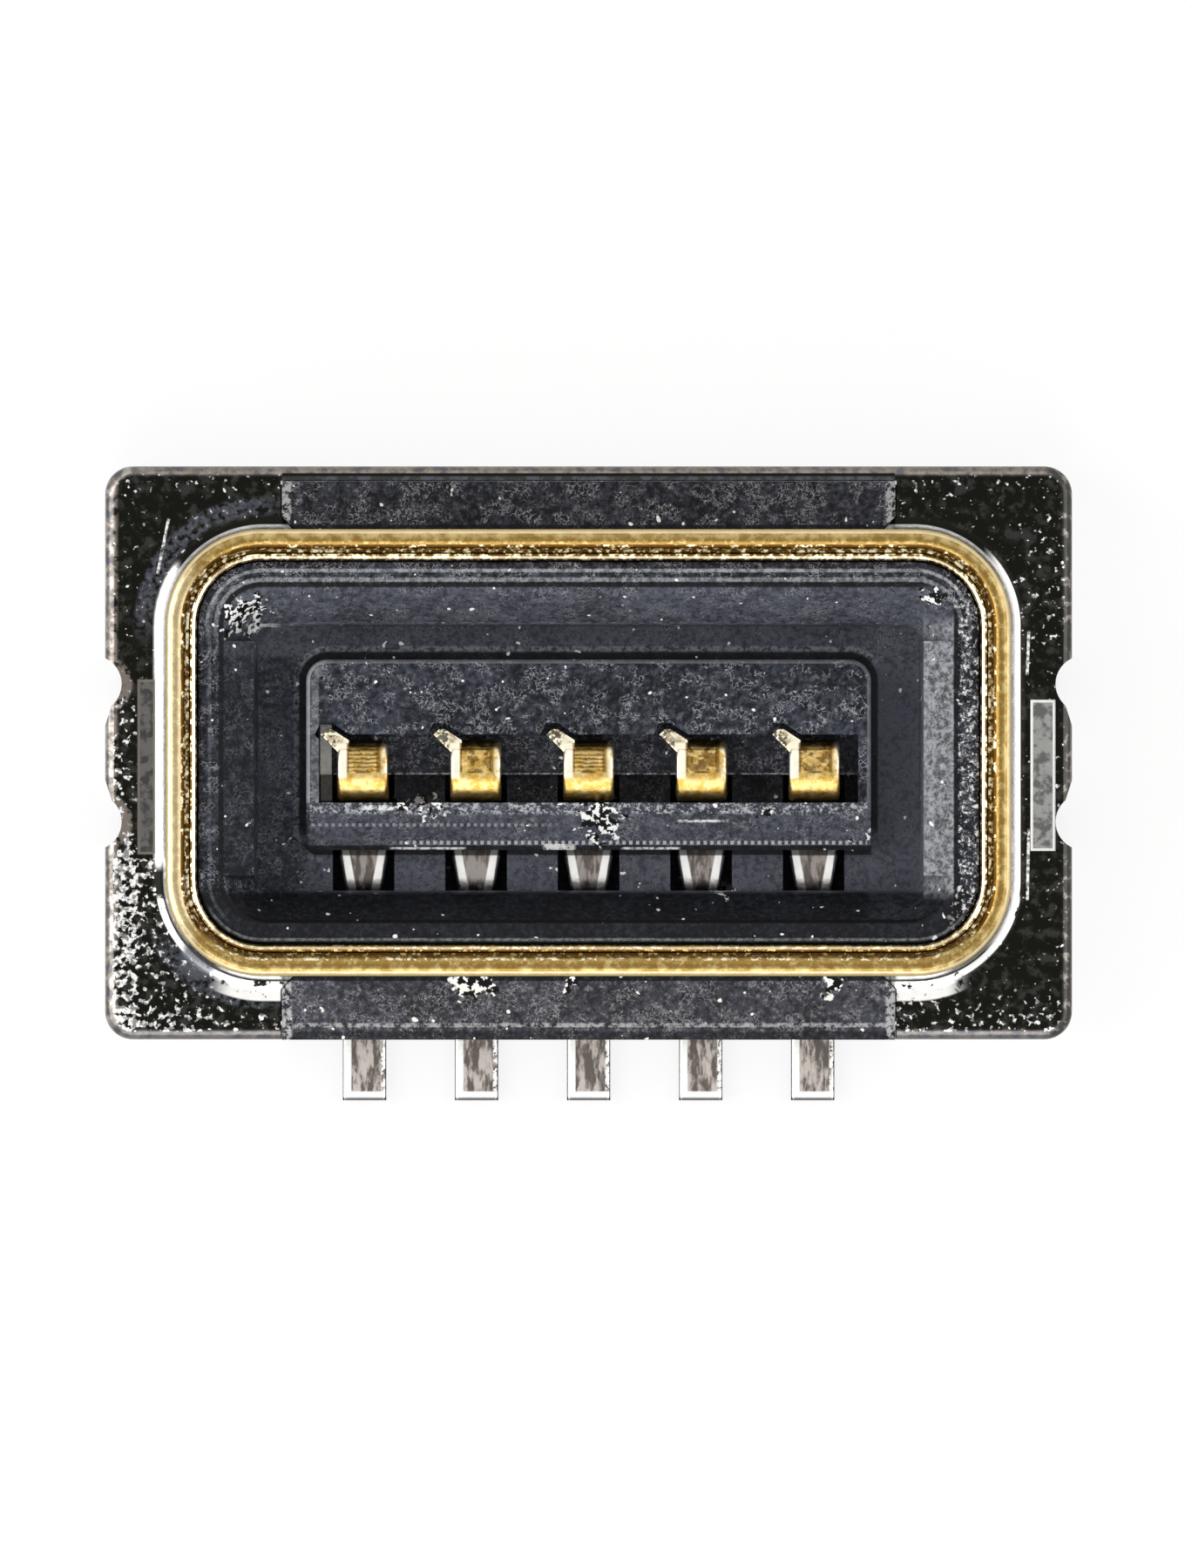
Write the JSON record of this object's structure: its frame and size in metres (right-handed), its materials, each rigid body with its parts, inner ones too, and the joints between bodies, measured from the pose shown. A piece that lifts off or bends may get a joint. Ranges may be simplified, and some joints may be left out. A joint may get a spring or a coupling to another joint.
{
  "type": "fpc connector",
  "caption": "Shielded surface-mount receptacle for a flexible circuit: a drawn metal shell with a raised race-track rim, a moulded well with an island, and one row of bent contacts.",
  "frame": {"origin": "on the board plane, under the middle of the body, midway between its ends and between its long sides", "axes": "+X along the contact row, -Y out of the side where the solder tails leave, +Z out of the mating face"},
  "size_m": [0.0034, 0.0022, 0.0007],
  "materials": {
    "moulding": "dark blue-black moulded liquid-crystal polymer, fine grain",
    "shell_metal": "bright nickel over copper alloy, gold plated on the raised rim",
    "contact_metal": "gold plated at the tip, bright tin at the leg and the solder tail"
  },
  "bodies": {
    "root": {"housing": "moulding", "shell": "shell_metal", "contact_1": "contact_metal", "contact_2": "contact_metal", "contact_3": "contact_metal", "contact_4": "contact_metal", "contact_5": "contact_metal"}
  },
  "joints": []
}
